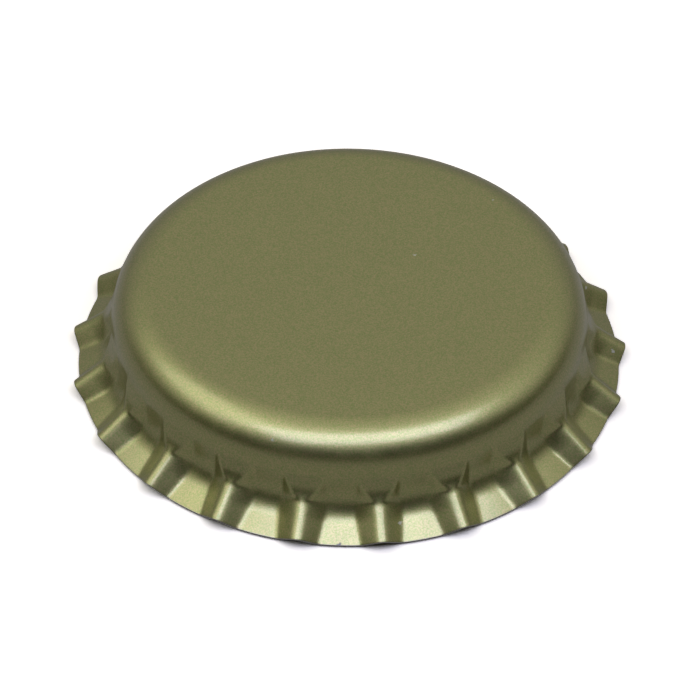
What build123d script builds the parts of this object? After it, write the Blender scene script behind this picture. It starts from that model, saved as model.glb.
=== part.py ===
from build123d import *
import os
from math import asin, atan2, cos, degrees, hypot, radians, sin, tan

# A crown cap, unused: a shallow cup drawn from thin sheet, its skirt folded into
# 21 flutes, with a sealing liner moulded inside. It stands on its skirt, the flat
# panel up. The origin is the middle of the circle it rests on, Z is its axis and
# one ridge of the skirt points along +X.

os.makedirs("parts", exist_ok=True)

# Driving sizes, in millimetres and degrees
overall_diameter = 32.1   # across the tips of the ridges
overall_height = 5.97     # from the feet to the panel
sheet = 0.24              # thickness of the drawn sheet
flare = 2.1               # how far the ridges' tips stand out from the wall
wall_draft = 8            # lean of the wall, away from upright
shoulder_radius = 2.4     # outside radius between panel and wall

flute_count = 21          # ridges, and as many feet between them
crease_height = 1.42      # height of the crease between wall and foot
crease_radius = 1.4       # outside radius of that crease
tip_height = 0.8          # height of a ridge's tip
ridge_height = 0.77       # how far a crest stands above the feet beside it
crest_radius = 0.7        # outside radius across the crest
flank_angle = 43          # rise of a ridge's sides

ring_angle = 47           # how far down the shoulder the sealing ring reaches
membrane = 0.25           # thin middle of the liner
bead_depth = 0.95         # liner at its two sealing beads, below the panel
bead_width = 1.1          # each bead, across
groove_depth = 0.4        # liner left between the beads
groove_width = 0.5        # groove between the beads, across
bead_slope = 65           # slope of the beads' sides

# Room given to the solids that are cut, so that no face ends on the cut
spare = 1


def line_radius(line, height, inset):
    # radius of a straight stretch of the sheet at a height, inset from its outside
    radius, level, fall = line
    return radius + (level - height) / tan(radians(fall)) - inset / sin(radians(fall))


def meeting_point(upper, lower, inset):
    # where two straight stretches of the sheet meet, as radius and height
    spread = 1 / tan(radians(lower[2])) - 1 / tan(radians(upper[2]))
    height = (line_radius(lower, 0, inset) - line_radius(upper, 0, inset)) / spread
    return (line_radius(upper, height, inset), height)


# Feet and crests fall at one angle, which brings the crests down to their tips
wall_radius = overall_diameter / 2 - flare
fall_to_tip = crease_height - tip_height
skirt_angle = degrees(atan2(fall_to_tip, flare) + asin(ridge_height / hypot(fall_to_tip, flare)))

# Straight stretches of the sheet: a point on its outside, and its fall below level
wall_line = (wall_radius, crease_height, 90 - wall_draft)
foot_line = (wall_radius, crease_height, skirt_angle)
crest_line = (overall_diameter / 2, tip_height, skirt_angle)

# The rim is cut along a cone, from the underside of the feet to the tips of the ridges
toe_radius = line_radius(foot_line, 0, sheet)
trim_slope = tip_height / (overall_diameter / 2 - toe_radius)


def ridge_form(inset):
    # one filled ridge along +X: a wedge with a rounded crest, run up into the wall
    root = meeting_point(wall_line, crest_line, inset)
    along = Vector(cos(radians(skirt_angle)), 0, -sin(radians(skirt_angle)))
    tip = Vector(crest_line[0], 0, crest_line[1])
    length = (tip - Vector(root[0], 0, root[1])).length
    apex = (crest_radius - inset) / cos(radians(flank_angle)) - crest_radius
    depth = ridge_height + sheet + spare
    half_width = (apex + depth) / tan(radians(flank_angle))
    with BuildPart() as ridge:
        with BuildSketch(Plane(origin=tip + along * spare, x_dir=(0, 1, 0), z_dir=along)):
            with BuildLine():
                sides = FilletPolyline(
                    (-half_width, -depth),
                    (0, apex),
                    (half_width, -depth),
                    radius=crest_radius - inset,
                )
                Line(sides @ 1, sides @ 0)
            make_face()
        extrude(amount=-(length + 2 * spare))
    return ridge.part


def fluted_form(inset):
    # the cap as a filled solid, inset from its outside, with every ridge
    panel = overall_height - inset
    with BuildPart() as form:
        with BuildSketch(Plane.XZ):
            with BuildLine():
                outside = FilletPolyline(
                    (0, panel),
                    (line_radius(wall_line, panel, inset), panel),
                    meeting_point(wall_line, foot_line, inset),
                    (line_radius(foot_line, -spare, inset), -spare),
                    radius=[shoulder_radius - inset, crease_radius + inset],
                )
                Polyline(outside @ 1, (0, -spare), outside @ 0)
            make_face()
        revolve()
        with PolarLocations(0, flute_count):
            add(ridge_form(inset))
    return form.part


with BuildPart() as crown_shell:
    add(fluted_form(0))
    add(fluted_form(sheet), mode=Mode.SUBTRACT)
    with BuildSketch(Plane.XZ):
        with BuildLine():
            Polyline(
                (toe_radius - flare, -flare * trim_slope),
                (overall_diameter / 2 + flare, tip_height + flare * trim_slope),
                (overall_diameter / 2 + flare, -flare * trim_slope),
                close=True,
            )
        make_face()
    revolve(mode=Mode.SUBTRACT)

# The liner: a thin membrane under the panel, and a sealing ring of two beads
# that follows the inside of the shoulder
panel_inside = overall_height - sheet
shoulder_level = overall_height - shoulder_radius
shoulder_centre = (line_radius(wall_line, shoulder_level, shoulder_radius), shoulder_level)
inside_radius = shoulder_radius - sheet
ring_edge = shoulder_centre[0] + inside_radius * sin(radians(ring_angle))
outer_bead = ring_edge - bead_width
inner_bead = outer_bead - groove_width - bead_width
membrane_under = panel_inside - membrane
groove_under = panel_inside - groove_depth
bead_under = panel_inside - bead_depth


def lean(height):
    # sideways run of a bead's side over a height
    return abs(height - bead_under) / tan(radians(bead_slope))


with BuildPart() as sealing_liner:
    with BuildSketch(Plane.XZ):
        with BuildLine():
            seat = CenterArc(shoulder_centre, inside_radius, 90 - ring_angle, ring_angle)
            Polyline(
                seat @ 1,
                (0, panel_inside),
                (0, membrane_under),
                (inner_bead, membrane_under),
                (inner_bead + lean(membrane_under), bead_under),
                (inner_bead + bead_width - lean(groove_under), bead_under),
                (inner_bead + bead_width, groove_under),
                (outer_bead, groove_under),
                (outer_bead + lean(groove_under), bead_under),
                (ring_edge - lean((seat @ 0).Y), bead_under),
                seat @ 0,
            )
        make_face()
    revolve()

crown_shell.part.label = "crown_shell"
sealing_liner.part.label = "sealing_liner"
export_step(crown_shell.part, "parts/crown_shell.step")
export_step(sealing_liner.part, "parts/sealing_liner.step")
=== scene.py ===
import bpy
import bmesh
import math
from mathutils import Matrix, Vector


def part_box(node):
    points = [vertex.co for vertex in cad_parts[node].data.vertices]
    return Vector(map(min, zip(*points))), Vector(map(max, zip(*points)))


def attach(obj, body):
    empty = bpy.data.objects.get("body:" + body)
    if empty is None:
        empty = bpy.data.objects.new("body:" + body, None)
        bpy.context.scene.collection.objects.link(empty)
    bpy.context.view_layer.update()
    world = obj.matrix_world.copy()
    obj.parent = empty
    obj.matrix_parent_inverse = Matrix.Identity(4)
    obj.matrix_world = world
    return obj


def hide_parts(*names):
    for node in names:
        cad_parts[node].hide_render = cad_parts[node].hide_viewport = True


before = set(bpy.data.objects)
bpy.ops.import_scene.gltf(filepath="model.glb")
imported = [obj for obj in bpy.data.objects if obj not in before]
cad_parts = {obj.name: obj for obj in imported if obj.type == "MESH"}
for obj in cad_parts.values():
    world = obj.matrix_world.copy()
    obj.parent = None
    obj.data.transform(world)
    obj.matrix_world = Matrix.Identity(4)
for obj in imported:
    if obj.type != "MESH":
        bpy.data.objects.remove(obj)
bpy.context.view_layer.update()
print("frame loaded")

mm = 0.001
deg = math.radians(1)
scene = bpy.context.scene


# --- small helpers for node trees ---
def addNode(tree, kind, inputs=None, **settings):
    node = tree.nodes.new(kind)
    for name, value in settings.items():
        setattr(node, name, value)
    for key, value in (inputs or {}).items():
        if isinstance(value, bpy.types.NodeSocket):
            tree.links.new(value, node.inputs[key])
        else:
            node.inputs[key].default_value = value
    return node


def calc(tree, operation, *values):
    return addNode(tree, "ShaderNodeMath", dict(enumerate(values)), operation=operation).outputs[0]


def remap(tree, value, fromLow, fromHigh, toLow, toHigh):
    values = dict(enumerate((value, fromLow, fromHigh, toLow, toHigh)))
    return addNode(tree, "ShaderNodeMapRange", values).outputs[0]


def mixVectors(tree, factor, first, second):
    node = addNode(tree, "ShaderNodeMix", {0: factor, 4: first, 5: second}, data_type="VECTOR")
    return node.outputs[1]


def mixColours(tree, factor, first, second, blend="MIX"):
    node = addNode(tree, "ShaderNodeMix", {0: factor, 6: first, 7: second}, data_type="RGBA")
    node.blend_type = blend
    return node.outputs[2]


def addInputs(tree, sockets):
    for name, kind in sockets.items():
        tree.interface.new_socket(name, in_out="INPUT", socket_type=kind)
    return tree.nodes.new("NodeGroupInput").outputs


def setInputs(modifier, values):
    found = {item.name: item.identifier for item in modifier.node_group.interface.items_tree}
    for name, value in values.items():
        modifier[found[name]] = value


def newPiece(name):
    piece = bpy.data.objects.new(name, bpy.data.meshes.new(name))
    scene.collection.objects.link(piece)
    return piece


def settle(piece, sharpAngle):
    # turns the evaluated piece into a plain mesh and takes its modifiers off
    depsgraph = bpy.context.evaluated_depsgraph_get()
    mesh = bpy.data.meshes.new_from_object(
        piece.evaluated_get(depsgraph), preserve_all_data_layers=True, depsgraph=depsgraph
    )
    piece.modifiers.clear()
    piece.data = mesh
    mesh.polygons.foreach_set("use_smooth", [True] * len(mesh.polygons))
    mesh.set_sharp_from_angle(angle=sharpAngle)
    print(f"{piece.name}: {sum(len(face.vertices) - 2 for face in mesh.polygons)} triangles")


# --- lacquered sheet metal ---
def grainGroup():
    # mottling of a rolled and lacquered sheet, fine and broad, both about 0.5
    tree = bpy.data.node_groups.new("sheet grain", "ShaderNodeTree")
    given = addInputs(tree, {"Fine Scale": "NodeSocketFloat", "Broad Scale": "NodeSocketFloat"})
    tree.interface.new_socket("Grain", in_out="OUTPUT", socket_type="NodeSocketFloat")
    tree.interface.new_socket("Clouds", in_out="OUTPUT", socket_type="NodeSocketFloat")
    place = addNode(tree, "ShaderNodeTexCoord").outputs["Object"]
    fine = addNode(tree, "ShaderNodeTexNoise", {
        "Vector": place, "Scale": given["Fine Scale"], "Detail": 3.0, "Roughness": 0.7,
    }).outputs[0]
    broad = addNode(tree, "ShaderNodeTexNoise", {
        "Vector": place, "Scale": given["Broad Scale"], "Detail": 4.0, "Roughness": 0.6,
    }).outputs[0]
    addNode(tree, "NodeGroupOutput", {"Grain": fine, "Clouds": broad})
    return tree


def markGroup():
    # a small ragged spot round a place on the sheet
    tree = bpy.data.node_groups.new("mark", "ShaderNodeTree")
    given = addInputs(tree, {"Centre": "NodeSocketVector", "Radius": "NodeSocketFloat"})
    tree.interface.new_socket("Mask", in_out="OUTPUT", socket_type="NodeSocketFloat")
    place = addNode(tree, "ShaderNodeTexCoord").outputs["Object"]
    distance = addNode(tree, "ShaderNodeVectorMath", {0: place, 1: given["Centre"]}, operation="DISTANCE")
    ragged = addNode(tree, "ShaderNodeTexNoise", {
        "Vector": place, "Scale": lacquer["markScale"], "Detail": 2.0,
    }).outputs[0]
    stretch = remap(tree, ragged, 0.3, 0.7, 0.5, 1.6)
    far = calc(tree, "DIVIDE", calc(tree, "MULTIPLY", distance.outputs["Value"], stretch), given["Radius"])
    addNode(tree, "NodeGroupOutput", {"Mask": remap(tree, far, 0.5, 1.0, 1.0, 0.0)})
    return tree


# small scars and specks: place and radius in millimetres, and colour
marks = (
    ((3.83, 2.29, 5.97), 0.1, (0.75, 0.75, 0.6, 1)),
    ((8.63, 7.09, 5.97), 0.09, (0.7, 0.7, 0.55, 1)),
    ((-4.77, -12.16, 5.12), 0.1, (0.6, 0.62, 0.45, 1)),
    ((2.22, -14.58, 0.9), 0.16, (0.85, 0.85, 0.75, 1)),
    ((-1.16, -15.51, 0.21), 0.16, (0.05, 0.05, 0.04, 1)),
    ((3.08, -13.5, 2.13), 0.13, (0.6, 0.5, 0.05, 1)),
    ((14.04, 3.91, 1.84), 0.14, (0.8, 0.8, 0.68, 1)),
    ((15.25, -0.71, 0.93), 0.13, (0.85, 0.85, 0.75, 1)),
)
lacquer = {
    "green": (0.32, 0.395, 0.12, 1),
    "brown": (0.54, 0.465, 0.21, 1),
    "steel": (0.55, 0.54, 0.50, 1),
    "speckle": (0.38, 0.62),    # stretch of the fine grain from green to brown
    "bareEdge": (0.985, 0.998), # share of the way to the rim where the cut steel starts
    "roughness": 0.37,
    "roughnessSwing": 0.03,
    "coatRoughness": 0.2,
    "coatIor": 1.6,
    "fineScale": 11000,
    "broadScale": 900,
    "grainDepth": 0.008 * mm,
    "markScale": 8000,
}


def lacquerMaterial(grain, mark):
    material = bpy.data.materials.new("gold lacquer on sheet")
    material.use_nodes = True
    tree = material.node_tree
    tree.nodes.clear()
    pattern = addNode(tree, "ShaderNodeGroup")
    pattern.node_tree = grain
    pattern.inputs["Fine Scale"].default_value = lacquer["fineScale"]
    pattern.inputs["Broad Scale"].default_value = lacquer["broadScale"]
    speckle = remap(tree, pattern.outputs["Grain"], *lacquer["speckle"], 0.0, 1.0)
    colour = mixColours(tree, speckle, lacquer["green"], lacquer["brown"])
    for centre, radius, shade in marks:
        spot = addNode(tree, "ShaderNodeGroup")
        spot.node_tree = mark
        spot.inputs["Centre"].default_value = Vector(centre) * mm
        spot.inputs["Radius"].default_value = radius * mm
        colour = mixColours(tree, spot.outputs["Mask"], colour, shade)
    rimness = addNode(tree, "ShaderNodeAttribute", attribute_name="towards_rim").outputs["Fac"]
    bare = remap(tree, rimness, *lacquer["bareEdge"], 0.0, 1.0)
    colour = mixColours(tree, bare, colour, lacquer["steel"])
    smoothest = lacquer["roughness"] - lacquer["roughnessSwing"]
    roughest = lacquer["roughness"] + lacquer["roughnessSwing"]
    rough = remap(tree, pattern.outputs["Clouds"], 0.3, 0.7, smoothest, roughest)
    bump = addNode(tree, "ShaderNodeBump", {
        "Strength": 0.5, "Distance": lacquer["grainDepth"], "Height": pattern.outputs["Grain"],
    })
    shader = addNode(tree, "ShaderNodeBsdfPrincipled", {
        "Base Color": colour,
        "Metallic": 1.0,
        "Roughness": rough,
        "Normal": bump.outputs[0],
        "Coat Weight": 1.0,
        "Coat Roughness": lacquer["coatRoughness"],
        "Coat IOR": lacquer["coatIor"],
    })
    addNode(tree, "ShaderNodeOutputMaterial", {"Surface": shader.outputs[0]})
    return material


# --- the fluted shell ---
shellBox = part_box("crown_shell")
crown = {
    "flutes": 21,
    "height": shellBox[1].z / mm,
    "tipRadius": shellBox[1].x / mm,
    "sheet": 0.24,
    "wallRadius": 13.936,     # outside of the wall, at the height of the crease
    "wallDraft": 8,           # lean of the wall, away from upright
    "shoulder": 2.4,
    "creaseHeight": 1.52,
    "creaseDepth": 0.29,      # how far the crease lies behind the wall's own line
    "creaseBend": 2.1,
    "rimRadius": 15.62,       # at the feet
    "rimHeight": 0.21,
    "crestFall": 38,          # fall of a crest below level
    "tipHeight": 0.8,
    "ridgeBend": 2.0,
    "ridgeDrop": 0.05,        # how far below the shoulder a ridge starts on the wall
    "ridgeLean": 19.5,        # its lean there
    "baseHalf": 1.15,         # half the width of a ridge's base
    "baseBulge": 0.16,        # how much wider the base is half-way down
    "crestHalf": 0.2,         # half the width of its crest, below the bend
    "crestStart": 0.4,        # share of the way to the rim where the flat face has become the crest
    "slotShare": 0.12,        # width of a flank at the top, as a share of that below crestStart
    "slotGrowth": 1.8,        # power by which it widens on the way
    "crestSoftness": 0.3,     # both as a share of the ridge's height
    "footSoftness": 0.2,
    "unevenness": 0.05,       # how much lower than full height a ridge may stand
    "seed": 7,
    "segments": 40,           # round one flute
    "crowding": 0.3,          # how much closer the segments lie on a ridge
    "panelRows": 4,
    "shoulderRows": 18,
    "fluteRows": 34,
    "filletSteps": 24,
    "mergeWithin": 0.002,
    "edgeRound": 0.035,
    "edgeSegments": 3,
    "edgeAngle": 60,
    "sharpAngle": 40,
}


def filletedLine(tree, points, radius):
    # four points in the XZ plane, joined, with an arc at the third one
    names = dict(zip(("Point 1", "Point 2", "Point 3", "Point 4"), points))
    line = addNode(tree, "GeometryNodeCurvePrimitiveQuadrilateral", names, mode="POINTS")
    opened = addNode(tree, "GeometryNodeSetSplineCyclic", {"Geometry": line.outputs[0], "Cyclic": False})
    index = addNode(tree, "GeometryNodeInputIndex").outputs[0]
    isThird = calc(tree, "COMPARE", index, 2, 0.1)
    return addNode(tree, "GeometryNodeFilletCurve", {
        "Curve": opened.outputs[0], "Count": crown["filletSteps"],
        "Radius": calc(tree, "MULTIPLY", isThird, radius),
    }, mode="POLY").outputs[0]


def sampled(tree, curve, factor):
    node = addNode(tree, "GeometryNodeSampleCurve", {"Curves": curve, "Factor": factor}, mode="FACTOR")
    return node.outputs["Position"]


def shellTree():
    tree = bpy.data.node_groups.new("fluted shell", "GeometryNodeTree")
    given = addInputs(tree, {
        "Flutes": "NodeSocketInt",
        "Segments": "NodeSocketInt",
        "Crowding": "NodeSocketFloat",
        "Panel Rows": "NodeSocketInt",
        "Shoulder Rows": "NodeSocketInt",
        "Flute Rows": "NodeSocketInt",
        "Panel Share": "NodeSocketFloat",
        "Panel Middle": "NodeSocketVector",
        "Panel Edge": "NodeSocketVector",
        "Shoulder Corner": "NodeSocketVector",
        "Wall End": "NodeSocketVector",
        "Wall Below": "NodeSocketVector",
        "Crease Corner": "NodeSocketVector",
        "Foot Rim": "NodeSocketVector",
        "Ridge Corner": "NodeSocketVector",
        "Ridge Tip": "NodeSocketVector",
        "Shoulder Radius": "NodeSocketFloat",
        "Crease Radius": "NodeSocketFloat",
        "Ridge Radius": "NodeSocketFloat",
        "Base Half Width": "NodeSocketFloat",
        "Base Bulge": "NodeSocketFloat",
        "Crest Half Width": "NodeSocketFloat",
        "Crest Start": "NodeSocketFloat",
        "Slot Share": "NodeSocketFloat",
        "Slot Growth": "NodeSocketFloat",
        "Crest Softness": "NodeSocketFloat",
        "Foot Softness": "NodeSocketFloat",
        "Unevenness": "NodeSocketFloat",
        "Seed": "NodeSocketInt",
        "Material": "NodeSocketMaterial",
    })
    tree.interface.new_socket("Geometry", in_out="OUTPUT", socket_type="NodeSocketGeometry")

    # a flat grid: X goes round the cap, Y down its profile
    around = calc(tree, "MULTIPLY", given["Flutes"], given["Segments"])
    cupRows = calc(tree, "ADD", given["Panel Rows"], given["Shoulder Rows"])
    rows = calc(tree, "ADD", cupRows, given["Flute Rows"])
    grid = addNode(tree, "GeometryNodeMeshGrid", {
        "Size X": 1.0, "Size Y": 1.0,
        "Vertices X": calc(tree, "ADD", around, 1.0), "Vertices Y": calc(tree, "ADD", rows, 1.0),
    })
    place = addNode(tree, "GeometryNodeInputPosition").outputs[0]
    flat = addNode(tree, "ShaderNodeSeparateXYZ", {0: place}).outputs
    turns = calc(tree, "MULTIPLY", calc(tree, "ADD", flat["X"], 0.5), given["Flutes"])
    row = calc(tree, "MULTIPLY", calc(tree, "ADD", flat["Y"], 0.5), rows)

    # place within one flute, from -0.5 to 0.5 with the ridge at 0
    ridgeIndex = calc(tree, "FLOOR", turns)
    within = calc(tree, "SUBTRACT", calc(tree, "FRACT", turns), 0.5)
    wave = calc(tree, "SINE", calc(tree, "MULTIPLY", within, 2 * math.pi))
    pull = calc(tree, "DIVIDE", calc(tree, "MULTIPLY", wave, given["Crowding"]), 2 * math.pi)
    within = calc(tree, "SUBTRACT", within, pull)
    pitch = calc(tree, "DIVIDE", 2 * math.pi, given["Flutes"])
    angle = calc(tree, "MULTIPLY", calc(tree, "ADD", ridgeIndex, within), pitch)
    fromRidge = calc(tree, "MULTIPLY", calc(tree, "ABSOLUTE", within), pitch)

    # three profiles, and the place on each: the cup down to the wall, then a foot or a crest
    cup = filletedLine(tree, (
        given["Panel Middle"], given["Panel Edge"], given["Shoulder Corner"], given["Wall End"],
    ), given["Shoulder Radius"])
    valley = filletedLine(tree, (
        given["Wall End"], given["Wall Below"], given["Crease Corner"], given["Foot Rim"],
    ), given["Crease Radius"])
    ridge = filletedLine(tree, (
        given["Wall End"], given["Wall Below"], given["Ridge Corner"], given["Ridge Tip"],
    ), given["Ridge Radius"])
    onPanel = remap(tree, row, 0.0, given["Panel Rows"], 0.0, given["Panel Share"])
    shoulderShare = calc(tree, "SUBTRACT", 1.0, given["Panel Share"])
    onShoulder = remap(tree, row, given["Panel Rows"], cupRows, 0.0, shoulderShare)
    towardsRim = remap(tree, row, cupRows, rows, 0.0, 1.0)
    cupPoint = sampled(tree, cup, calc(tree, "ADD", onPanel, onShoulder))
    valleyPoint = sampled(tree, valley, towardsRim)
    ridgePoint = sampled(tree, ridge, towardsRim)

    # how far a point is folded out, from 0 on a foot to 1 on a crest
    radius = addNode(tree, "ShaderNodeSeparateXYZ", {0: valleyPoint}).outputs["X"]
    across = calc(tree, "MULTIPLY", fromRidge, radius)
    midway = calc(tree, "MULTIPLY", towardsRim, calc(tree, "SUBTRACT", 1.0, towardsRim))
    bulge = calc(tree, "MULTIPLY", calc(tree, "MULTIPLY", midway, 4.0), given["Base Bulge"])
    base = calc(tree, "ADD", given["Base Half Width"], bulge)
    narrowed = remap(tree, towardsRim, 0.0, given["Crest Start"], 0.0, 1.0)
    narrowed = calc(tree, "POWER", narrowed, given["Slot Growth"])
    flank = calc(tree, "SUBTRACT", base, given["Crest Half Width"])
    flank = calc(tree, "MULTIPLY", flank, remap(tree, narrowed, 0.0, 1.0, given["Slot Share"], 1.0))
    climb = calc(tree, "DIVIDE", calc(tree, "SUBTRACT", base, across), flank)
    fold = calc(tree, "SMOOTH_MIN", climb, 1.0, given["Crest Softness"])
    fold = calc(tree, "SMOOTH_MAX", fold, 0.0, given["Foot Softness"])
    fold = calc(tree, "MINIMUM", fold, 1.0)
    chance = addNode(tree, "FunctionNodeRandomValue", {
        "ID": calc(tree, "FLOORED_MODULO", ridgeIndex, given["Flutes"]), "Seed": given["Seed"],
    }, data_type="FLOAT").outputs[1]
    standing = calc(tree, "SUBTRACT", 1.0, calc(tree, "MULTIPLY", chance, given["Unevenness"]))
    fold = calc(tree, "MULTIPLY", fold, standing)

    fluted = mixVectors(tree, fold, valleyPoint, ridgePoint)
    below = calc(tree, "GREATER_THAN", row, calc(tree, "ADD", cupRows, 0.5))
    profile = mixVectors(tree, below, cupPoint, fluted)
    turned = addNode(tree, "ShaderNodeVectorRotate", {
        "Vector": profile, "Angle": angle,
    }, rotation_type="Z_AXIS")
    marked = addNode(tree, "GeometryNodeStoreNamedAttribute", {
        "Geometry": grid.outputs["Mesh"], "Name": "towards_rim", "Value": towardsRim,
    }, data_type="FLOAT", domain="POINT")
    shaped = addNode(tree, "GeometryNodeSetPosition", {
        "Geometry": marked.outputs[0], "Position": turned.outputs[0],
    })
    closed = addNode(tree, "GeometryNodeMergeByDistance", {
        "Geometry": shaped.outputs[0], "Distance": crown["mergeWithin"] * mm,
    })
    outward = addNode(tree, "GeometryNodeFlipFaces", {"Mesh": closed.outputs[0]})
    whole = addNode(tree, "GeometryNodeRealizeInstances", {"Geometry": outward.outputs[0]})
    painted = addNode(tree, "GeometryNodeSetMaterial", {
        "Geometry": whole.outputs[0], "Material": given["Material"],
    })
    addNode(tree, "NodeGroupOutput", {"Geometry": painted.outputs[0]})
    return tree


def crownShell(material):
    lean = math.tan(crown["wallDraft"] * deg)
    slope = math.tan(crown["crestFall"] * deg)
    shoulderTurn = (90 - crown["wallDraft"]) * deg

    def wallRadius(height):
        return crown["wallRadius"] - (height - crown["creaseHeight"]) * lean

    def point(radius, height):
        return Vector((radius * mm, 0, height * mm))

    reach = crown["shoulder"] * math.tan(shoulderTurn / 2)
    cornerRadius = wallRadius(crown["height"])
    panelEdge = cornerRadius - reach

    # where a ridge leaves the wall, and where it bends into its crest's line
    wallEnd = crown["height"] - crown["shoulder"] - crown["ridgeDrop"]
    ridgeLean = math.tan(crown["ridgeLean"] * deg)
    outward = crown["tipRadius"] - wallRadius(wallEnd) - (wallEnd - crown["tipHeight"]) * ridgeLean
    bendHeight = crown["tipHeight"] + outward * slope / (1 - ridgeLean * slope)
    bendRadius = wallRadius(wallEnd) + (wallEnd - bendHeight) * ridgeLean
    wallStub = wallEnd - 0.01    # feet and crests start in the wall's own direction
    wallLength = (crown["height"] - wallEnd) / math.cos(crown["wallDraft"] * deg) - reach
    panelShare = panelEdge / (panelEdge + crown["shoulder"] * shoulderTurn + wallLength)
    creaseRadius = crown["wallRadius"] - crown["creaseDepth"]

    shell = newPiece("fluted_shell")
    modifier = shell.modifiers.new("flutes", "NODES")
    modifier.node_group = shellTree()
    setInputs(modifier, {
        "Flutes": crown["flutes"],
        "Segments": crown["segments"],
        "Crowding": crown["crowding"],
        "Panel Rows": crown["panelRows"],
        "Shoulder Rows": crown["shoulderRows"],
        "Flute Rows": crown["fluteRows"],
        "Panel Share": panelShare,
        "Panel Middle": point(0, crown["height"]),
        "Panel Edge": point(panelEdge / 2, crown["height"]),
        "Shoulder Corner": point(cornerRadius, crown["height"]),
        "Wall End": point(wallRadius(wallEnd), wallEnd),
        "Wall Below": point(wallRadius(wallStub), wallStub),
        "Crease Corner": point(creaseRadius, crown["creaseHeight"]),
        "Foot Rim": point(crown["rimRadius"], crown["rimHeight"]),
        "Ridge Corner": point(bendRadius, bendHeight),
        "Ridge Tip": point(crown["tipRadius"], crown["tipHeight"]),
        "Shoulder Radius": crown["shoulder"] * mm,
        "Crease Radius": crown["creaseBend"] * mm,
        "Ridge Radius": crown["ridgeBend"] * mm,
        "Base Half Width": crown["baseHalf"] * mm,
        "Base Bulge": crown["baseBulge"] * mm,
        "Crest Half Width": crown["crestHalf"] * mm,
        "Crest Start": crown["crestStart"],
        "Slot Share": crown["slotShare"],
        "Slot Growth": crown["slotGrowth"],
        "Crest Softness": crown["crestSoftness"],
        "Foot Softness": crown["footSoftness"],
        "Unevenness": crown["unevenness"],
        "Seed": crown["seed"],
        "Material": material,
    })
    wall = shell.modifiers.new("sheet", "SOLIDIFY")
    wall.thickness = crown["sheet"] * mm
    wall.offset = -1
    wall.use_even_offset = True
    edge = shell.modifiers.new("sheared edge", "BEVEL")
    edge.width = crown["edgeRound"] * mm
    edge.segments = crown["edgeSegments"]
    edge.limit_method = "ANGLE"
    edge.angle_limit = crown["edgeAngle"] * deg
    settle(shell, crown["sharpAngle"] * deg)
    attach(shell, "root")
    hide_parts("crown_shell")
    return shell


grain = grainGroup()
shell = crownShell(lacquerMaterial(grain, markGroup()))
print("shell made")


# --- sealing liner ---
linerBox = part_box("sealing_liner")
liner = {
    "edge": linerBox[1].x / mm,
    "top": linerBox[1].z / mm,
    "membrane": 0.25,
    "beadDepth": 0.95,
    "beadWidth": 1.1,
    "grooveDepth": 0.4,
    "grooveWidth": 0.5,
    "beadSlope": 65,
    "rounding": 0.16,
    "roundingSegments": 4,
    "roundingAngle": 25,
    "sharpAngle": 60,
    "segments": 252,
    "seatSteps": 8,
    "colour": (0.74, 0.73, 0.68, 1),
    "paler": (0.80, 0.79, 0.75, 1),
    "roughness": (0.38, 0.5),
    "cloudScale": 700,
    "grainDepth": 0.01 * mm,
}


def linerMaterial():
    material = bpy.data.materials.new("liner compound")
    material.use_nodes = True
    tree = material.node_tree
    tree.nodes.clear()
    place = addNode(tree, "ShaderNodeTexCoord").outputs["Object"]
    cloud = addNode(tree, "ShaderNodeTexNoise", {
        "Vector": place, "Scale": liner["cloudScale"], "Detail": 4.0,
    }).outputs[0]
    colour = mixColours(tree, cloud, liner["colour"], liner["paler"])
    rough = remap(tree, cloud, 0.3, 0.7, *liner["roughness"])
    bump = addNode(tree, "ShaderNodeBump", {
        "Strength": 0.3, "Distance": liner["grainDepth"], "Height": cloud,
    })
    shader = addNode(tree, "ShaderNodeBsdfPrincipled", {
        "Base Color": colour, "Roughness": rough, "Normal": bump.outputs[0],
        "Subsurface Weight": 0.2, "Subsurface Scale": 0.3 * mm,
    })
    addNode(tree, "ShaderNodeOutputMaterial", {"Surface": shader.outputs[0]})
    return material


def linerProfile():
    # half section, from the middle under the panel round to the middle of the membrane
    beadUnder = liner["top"] - liner["beadDepth"]
    grooveUnder = liner["top"] - liner["grooveDepth"]
    membraneUnder = liner["top"] - liner["membrane"]
    outer = liner["edge"] - liner["beadWidth"]
    inner = outer - liner["grooveWidth"] - liner["beadWidth"]

    def lean(height):
        return (height - beadUnder) / math.tan(liner["beadSlope"] * deg)

    # the ring's edge follows the inside of the shoulder
    draft = crown["wallDraft"] * deg
    seat = crown["shoulder"] - crown["sheet"]
    centreHeight = crown["height"] - crown["shoulder"]
    wallThere = crown["wallRadius"] - (centreHeight - crown["creaseHeight"]) * math.tan(draft)
    centreRadius = wallThere - crown["shoulder"] / math.cos(draft)
    edgeTurn = math.asin((liner["edge"] - centreRadius) / seat)
    turns = [edgeTurn * i / liner["seatSteps"] for i in range(liner["seatSteps"] + 1)]
    arc = [(centreRadius + seat * math.sin(turn), centreHeight + seat * math.cos(turn)) for turn in turns]
    return [(0, liner["top"])] + arc + [
        (liner["edge"] - lean(arc[-1][1]), beadUnder),
        (outer + lean(grooveUnder), beadUnder),
        (outer, grooveUnder),
        (inner + liner["beadWidth"], grooveUnder),
        (inner + liner["beadWidth"] - lean(grooveUnder), beadUnder),
        (inner + lean(membraneUnder), beadUnder),
        (inner, membraneUnder),
        (0, membraneUnder),
    ]


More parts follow.
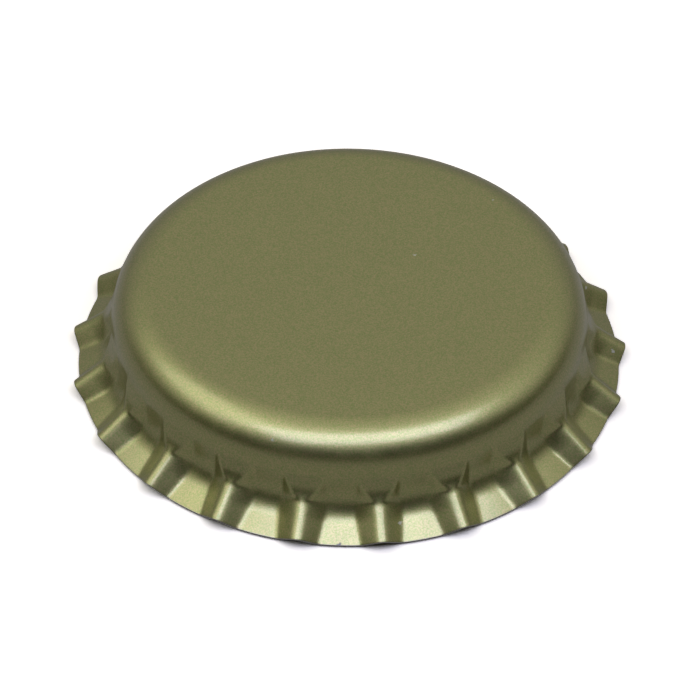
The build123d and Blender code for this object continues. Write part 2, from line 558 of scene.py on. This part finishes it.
def sealingRing(material):
    ring = newPiece("liner_compound")
    shape = bmesh.new()
    profile = linerProfile()
    rings = []
    for radius, height in profile:
        if radius == 0:
            rings.append([shape.verts.new((0, 0, height * mm))])
            continue
        rings.append([
            shape.verts.new((radius * mm * math.cos(turn), radius * mm * math.sin(turn), height * mm))
            for turn in (2 * math.pi * i / liner["segments"] for i in range(liner["segments"]))
        ])
    for upper, lower in zip(rings, rings[1:]):
        for i in range(liner["segments"]):
            # a ring of one point, in the middle, gives a triangle
            after = (i + 1) % liner["segments"]
            near = [upper[i % len(upper)], lower[i % len(lower)]]
            far = [lower[after % len(lower)], upper[after % len(upper)]]
            shape.faces.new(dict.fromkeys(near + far))
    bmesh.ops.recalc_face_normals(shape, faces=shape.faces)
    shape.to_mesh(ring.data)
    shape.free()
    ring.data.materials.append(material)
    soften = ring.modifiers.new("rounded beads", "BEVEL")
    soften.width = liner["rounding"] * mm
    soften.segments = liner["roundingSegments"]
    soften.limit_method = "ANGLE"
    soften.angle_limit = liner["roundingAngle"] * deg
    settle(ring, liner["sharpAngle"] * deg)
    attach(ring, "root")
    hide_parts("sealing_liner")
    return ring


ring = sealingRing(linerMaterial())
print("liner made")


# --- floor, light and camera ---
studio = {
    "floorReach": 3.0,
    "floorSeen": (1.7, 1.65, 1.4, 1),
    "floorBounced": (0.2, 0.19, 0.17, 1),
    "mirrorShare": 0.1,      # how much of the seen floor metal mirrors
    # brightness round the sky: 0 is the horizon behind the camera, 0.5 overhead, 1 the far horizon
    "sky": (
        (0.0, 0.2), (0.03, 0.12), (0.08, 0.0), (0.22, 0.01), (0.3, 0.25),
        (0.45, 0.55), (0.6, 0.55), (0.77, 0.36), (1.0, 0.2),
    ),
    "skyTint": (1, 0.98, 0.92),
    "sideDimming": 0.9,
}
# azimuth from the camera's side, elevation in degrees, the rest in metres
boxes = (
    {
        "name": "key", "azimuth": 14, "elevation": 63, "distance": 0.25,
        "wide": 0.34, "high": 0.12, "radiance": 2.1, "colour": (0.94, 0.96, 1.4),
    },
    {
        "name": "fill", "azimuth": -85, "elevation": 52, "distance": 0.5,
        "wide": 0.4, "high": 0.3, "radiance": 0.8, "colour": (1.0, 1.0, 1.0),
    },
)
# angles in degrees, lengths in millimetres
view = {
    "turn": -2.897,
    "elevation": 41.677,
    "roll": 0.806,
    "distance": 259.26,
    "lens": 233.8,
    "target": (0.059, -2.462, 3.0),
}


def floorPlane():
    floor = newPiece("floor")
    half = studio["floorReach"] / 2
    corners = [(-half, -half, 0), (half, -half, 0), (half, half, 0), (-half, half, 0)]
    floor.data.from_pydata(corners, [], [(0, 1, 2, 3)])
    material = bpy.data.materials.new("pale floor")
    material.use_nodes = True
    tree = material.node_tree
    tree.nodes.clear()
    rays = addNode(tree, "ShaderNodeLightPath").outputs
    mirrored = calc(tree, "ADD", rays["Is Glossy Ray"], rays["Is Transmission Ray"])
    share = calc(tree, "MULTIPLY", mirrored, studio["mirrorShare"])
    share = calc(tree, "MAXIMUM", rays["Is Camera Ray"], share)
    colour = mixColours(tree, share, studio["floorBounced"], studio["floorSeen"])
    shader = addNode(tree, "ShaderNodeBsdfDiffuse", {"Color": colour})
    addNode(tree, "ShaderNodeOutputMaterial", {"Surface": shader.outputs[0]})
    floor.data.materials.append(material)


def studioWorld():
    world = bpy.data.worlds.new("studio")
    scene.world = world
    world.use_nodes = True
    tree = world.node_tree
    tree.nodes.clear()
    place = addNode(tree, "ShaderNodeTexCoord").outputs["Generated"]
    way = addNode(tree, "ShaderNodeSeparateXYZ", {0: place}).outputs
    turn = calc(tree, "ARCTAN2", way["Z"], calc(tree, "MULTIPLY", way["Y"], -1.0))
    share = calc(tree, "DIVIDE", turn, math.pi)
    ramp = addNode(tree, "ShaderNodeValToRGB", {"Fac": share})
    stops = ramp.color_ramp.elements
    while len(stops) < len(studio["sky"]):
        stops.new(0.5)
    for stop, (spot, level) in zip(stops, studio["sky"]):
        stop.position = spot
        stop.color = [level * part for part in studio["skyTint"]] + [1]
    # dark low down at both sides, in front
    sideways = remap(tree, calc(tree, "ABSOLUTE", way["X"]), 0.3, 0.7, 0.0, studio["sideDimming"])
    low = remap(tree, way["Z"], 0.5, 0.15, 0.0, 1.0)
    front = remap(tree, way["Y"], 0.2, 0.6, 1.0, 0.0)
    dim = calc(tree, "SUBTRACT", 1.0, calc(tree, "MULTIPLY", calc(tree, "MULTIPLY", sideways, low), front))
    around = mixColours(tree, 1.0, ramp.outputs[0], dim, "MULTIPLY")
    rays = addNode(tree, "ShaderNodeLightPath").outputs
    colour = mixColours(tree, rays["Is Camera Ray"], around, (1, 1, 1, 1))
    background = addNode(tree, "ShaderNodeBackground", {"Color": colour, "Strength": 1.0})
    addNode(tree, "ShaderNodeOutputWorld", {"Surface": background.outputs[0]})


def softBox(box):
    light = bpy.data.lights.new(box["name"], "AREA")
    light.shape = "RECTANGLE"
    light.size = box["wide"]
    light.size_y = box["high"]
    light.color = box["colour"]
    light.energy = box["radiance"] * math.pi * box["wide"] * box["high"]
    lamp = bpy.data.objects.new(box["name"], light)
    scene.collection.objects.link(lamp)
    raised = box["elevation"] * deg
    turned = Matrix.Rotation((view["turn"] + box["azimuth"]) * deg, 3, "Z")
    towards = turned @ Vector((0, -math.cos(raised), math.sin(raised)))
    side = turned @ Vector((1, 0, 0))
    pose = Matrix((side, towards.cross(side), towards)).transposed().to_4x4()
    pose.translation = towards * box["distance"]
    lamp.matrix_world = pose


def photoCamera():
    raised = view["elevation"] * deg
    rolled = view["roll"] * deg
    forward = Vector((0, math.cos(raised), -math.sin(raised)))
    right = Vector((1, 0, 0))
    up = right.cross(forward)
    side = math.cos(rolled) * right + math.sin(rolled) * up
    top = math.cos(rolled) * up - math.sin(rolled) * right
    spot = (Vector(view["target"]) - forward * view["distance"]) * mm
    pose = Matrix((side, top, -forward)).transposed().to_4x4()
    pose.translation = spot
    lens = bpy.data.cameras.new("camera")
    lens.lens = view["lens"]
    lens.sensor_width = 36
    lens.clip_start = 0.01
    lens.clip_end = 10
    camera = bpy.data.objects.new("camera", lens)
    scene.collection.objects.link(camera)
    camera.matrix_world = Matrix.Rotation(view["turn"] * deg, 4, "Z") @ pose
    scene.camera = camera


floorPlane()
studioWorld()
for box in boxes:
    softBox(box)
photoCamera()
scene.view_settings.view_transform = "Standard"
print("floor, light and camera set")
